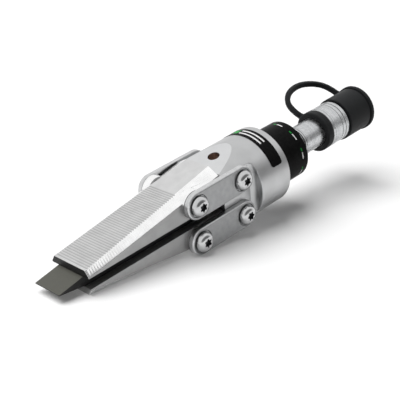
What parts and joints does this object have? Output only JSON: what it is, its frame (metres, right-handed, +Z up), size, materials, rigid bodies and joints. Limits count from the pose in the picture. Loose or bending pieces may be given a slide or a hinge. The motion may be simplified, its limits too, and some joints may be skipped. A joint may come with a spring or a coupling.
{
  "type": "flange spreader",
  "caption": "Hydraulic wedge spreader: a piston drives a long wedge between two ridged jaws held back by links, opening flanges in parallel; hose coupler with tethered dust cap.",
  "frame": {"origin": "on the floor under the middle of the tool, strap not counted", "axes": "+X from the wedge's tip to the hose coupler, +Z up, with the tool lying on its lower jaw's outer face, so its own axis points about 9 degrees nose-down"},
  "size_m": [0.3054, 0.0644, 0.0742],
  "materials": {
    "satin_alloy": "satin machined aluminium alloy",
    "jaw_steel": "ground tool steel, bright bevels",
    "link_steel": "satin forged steel",
    "screw_steel": "bright zinc-plated steel",
    "black_wedge_steel": "black oxide, satin",
    "black_alloy": "black anodised",
    "black_label": "satin black vinyl, bare",
    "ground_steel": "ground and polished",
    "spring_steel": "oiled spring wire",
    "bronze": "plain bearing bronze",
    "seal_rubber": "matte nitrile",
    "coupler_steel": "bright turned and plated steel",
    "cap_rubber": "matte moulded rubber"
  },
  "bodies": {
    "body": {"head_body": "satin_alloy", "cylinder_barrel": "black_alloy", "sleeve_band": "black_label", "marking_band": "black_label", "rod_bush": "bronze", "rod_wiper": "seal_rubber", "spring_washer": "ground_steel", "return_spring": "spring_steel", "rear_link_screws": "screw_steel", "coupler_nipple": "coupler_steel", "coupler_body": "coupler_steel", "coupler_spring": "spring_steel", "strap_ring": "cap_rubber", "cap_strap": "cap_rubber"},
    "wedge_drive": {"wedge": "black_wedge_steel", "wedge_pin": "ground_steel", "piston_rod": "ground_steel", "piston": "ground_steel", "piston_seal": "seal_rubber", "piston_guide_ring": "bronze", "piston_screw": "screw_steel"},
    "upper_links": {"upper_link_left": "link_steel", "upper_link_right": "link_steel"},
    "lower_links": {"lower_link_left": "link_steel", "lower_link_right": "link_steel"},
    "upper_jaw_body": {"upper_jaw": "jaw_steel", "upper_jaw_screws": "screw_steel"},
    "lower_jaw_body": {"lower_jaw": "jaw_steel", "lower_jaw_screws": "screw_steel"},
    "valve": {"coupler_poppet": "coupler_steel"},
    "cap": {"dust_cap": "cap_rubber"}
  },
  "joints": [
    {"name": "wedge_advance", "type": "slide", "parent": "body", "child": "wedge_drive", "axis": [-0.9871, 0, -0.1604], "range_m": [0, 0.034], "stiffness_N_per_m": 2500, "springref_m": -0.03, "deforming": ["return_spring"]},
    {"name": "upper_link_swing", "type": "hinge", "parent": "body", "child": "upper_links", "pos_m": [-0.00681, 0, 0.04284], "axis": [0, 1, 0], "range_deg": [0, 7.68]},
    {"name": "upper_jaw_level", "type": "hinge", "parent": "upper_links", "child": "upper_jaw_body", "pos_m": [-0.04807, 0, 0.03614], "axis": [0, -1, 0], "range_deg": [0, 7.68]},
    {"name": "lower_link_swing", "type": "hinge", "parent": "body", "child": "lower_links", "pos_m": [-0.00254, 0, 0.01659], "axis": [0, -1, 0], "range_deg": [0, 7.68]},
    {"name": "lower_jaw_level", "type": "hinge", "parent": "lower_links", "child": "lower_jaw_body", "pos_m": [-0.0438, 0, 0.00988], "axis": [0, 1, 0], "range_deg": [0, 7.68]},
    {"name": "cap_pull", "type": "slide", "parent": "body", "child": "cap", "axis": [0.9871, 0, 0.1604], "range_m": [0, 0.022], "deforming": ["cap_strap"]},
    {"name": "poppet_open", "type": "slide", "parent": "body", "child": "valve", "axis": [-0.9871, 0, -0.1604], "range_m": [0, 0.005], "stiffness_N_per_m": 1500, "springref_m": -0.004, "deforming": ["coupler_spring"]}
  ],
  "couplings": [
    {"joint": "upper_link_swing", "follows": "wedge_advance", "rad_per_m": 3.9423},
    {"joint": "upper_jaw_level", "follows": "wedge_advance", "rad_per_m": 3.9423},
    {"joint": "lower_link_swing", "follows": "wedge_advance", "rad_per_m": 3.9423},
    {"joint": "lower_jaw_level", "follows": "wedge_advance", "rad_per_m": 3.9423}
  ]
}
